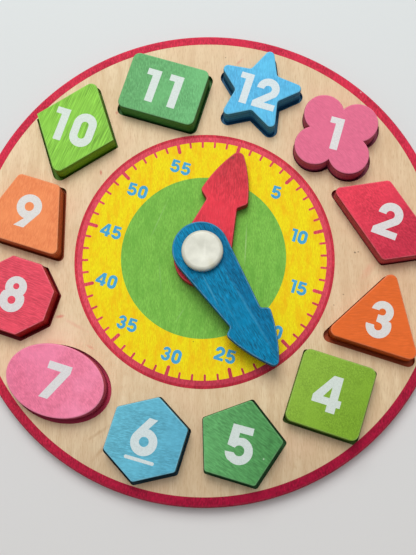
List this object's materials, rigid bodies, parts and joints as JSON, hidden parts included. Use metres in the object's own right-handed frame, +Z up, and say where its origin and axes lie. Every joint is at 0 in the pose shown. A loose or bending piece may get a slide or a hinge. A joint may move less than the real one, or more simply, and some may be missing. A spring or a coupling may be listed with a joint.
{
  "type": "teaching clock",
  "caption": "Round wooden teaching clock: two hand-turned hands over a printed minute dial, and lift-out number blocks of different shapes seated in matching recesses round the rim.",
  "frame": {"origin": "centre of the board's flat underside, on the hands' turning axis", "axes": "+Z up out of the dial face, along the hands' turning axis; +Y towards 12 o'clock; +X towards 3 o'clock"},
  "size_m": [0.3, 0.3, 0.0304],
  "materials": {
    "board_wood": "sanded plywood, rim painted crimson",
    "face_wood": "satin lacquer over printed dial",
    "block_12_blue": "sky-blue gloss paint",
    "block_01_pink": "rose-pink gloss paint",
    "block_02_red": "crimson gloss paint",
    "block_03_orange": "orange gloss paint",
    "block_04_leaf_green": "leaf-green gloss paint",
    "block_05_green": "mid-green gloss paint",
    "block_06_light_blue": "light-blue gloss paint",
    "block_07_light_pink": "light-pink gloss paint",
    "block_08_coral": "coral-red gloss paint",
    "block_09_light_orange": "light-orange gloss paint",
    "block_10_lime": "lime-green gloss paint",
    "block_11_sea_green": "sea-green gloss paint",
    "hour_hand_red": "red gloss paint",
    "minute_hand_blue": "blue gloss paint",
    "cap_plastic": "moulded, ivory white",
    "receiver_plastic": "moulded, ivory white",
    "washer_plastic": "punched sheet, satin"
  },
  "bodies": {
    "board": {"base_board": "board_wood", "face_board": "face_wood", "pivot_cap": "cap_plastic", "pivot_receiver": "receiver_plastic", "board_washer": "washer_plastic", "hand_washer": "washer_plastic"},
    "hour": {"hour_hand": "hour_hand_red"},
    "minute": {"minute_hand": "minute_hand_blue"},
    "number_12": {"block_12_star": "block_12_blue"},
    "number_01": {"block_01_quatrefoil": "block_01_pink"},
    "number_02": {"block_02_parallelogram": "block_02_red"},
    "number_03": {"block_03_triangle": "block_03_orange"},
    "number_04": {"block_04_square": "block_04_leaf_green"},
    "number_05": {"block_05_pentagon": "block_05_green"},
    "number_06": {"block_06_hexagon": "block_06_light_blue"},
    "number_07": {"block_07_ellipse": "block_07_light_pink"},
    "number_08": {"block_08_octagon": "block_08_coral"},
    "number_09": {"block_09_trapezoid": "block_09_light_orange"},
    "number_10": {"block_10_rhombus": "block_10_lime"},
    "number_11": {"block_11_rectangle": "block_11_sea_green"}
  },
  "joints": [
    {"name": "hour_hand_turn", "type": "hinge", "parent": "board", "child": "hour", "pos_m": [0, 0, 0.0135], "axis": [0, 0, 1], "continuous": true},
    {"name": "minute_hand_turn", "type": "hinge", "parent": "board", "child": "minute", "pos_m": [0, 0, 0.0215], "axis": [0, 0, 1], "continuous": true},
    {"name": "number_12_lift", "type": "slide", "parent": "board", "child": "number_12", "axis": [0, 0, 1], "range_m": [0, 0.02]},
    {"name": "number_01_lift", "type": "slide", "parent": "board", "child": "number_01", "axis": [0, 0, 1], "range_m": [0, 0.02]},
    {"name": "number_02_lift", "type": "slide", "parent": "board", "child": "number_02", "axis": [0, 0, 1], "range_m": [0, 0.02]},
    {"name": "number_03_lift", "type": "slide", "parent": "board", "child": "number_03", "axis": [0, 0, 1], "range_m": [0, 0.02]},
    {"name": "number_04_lift", "type": "slide", "parent": "board", "child": "number_04", "axis": [0, 0, 1], "range_m": [0, 0.02]},
    {"name": "number_05_lift", "type": "slide", "parent": "board", "child": "number_05", "axis": [0, 0, 1], "range_m": [0, 0.02]},
    {"name": "number_06_lift", "type": "slide", "parent": "board", "child": "number_06", "axis": [0, 0, 1], "range_m": [0, 0.02]},
    {"name": "number_07_lift", "type": "slide", "parent": "board", "child": "number_07", "axis": [0, 0, 1], "range_m": [0, 0.02]},
    {"name": "number_08_lift", "type": "slide", "parent": "board", "child": "number_08", "axis": [0, 0, 1], "range_m": [0, 0.02]},
    {"name": "number_09_lift", "type": "slide", "parent": "board", "child": "number_09", "axis": [0, 0, 1], "range_m": [0, 0.02]},
    {"name": "number_10_lift", "type": "slide", "parent": "board", "child": "number_10", "axis": [0, 0, 1], "range_m": [0, 0.02]},
    {"name": "number_11_lift", "type": "slide", "parent": "board", "child": "number_11", "axis": [0, 0, 1], "range_m": [0, 0.02]}
  ]
}
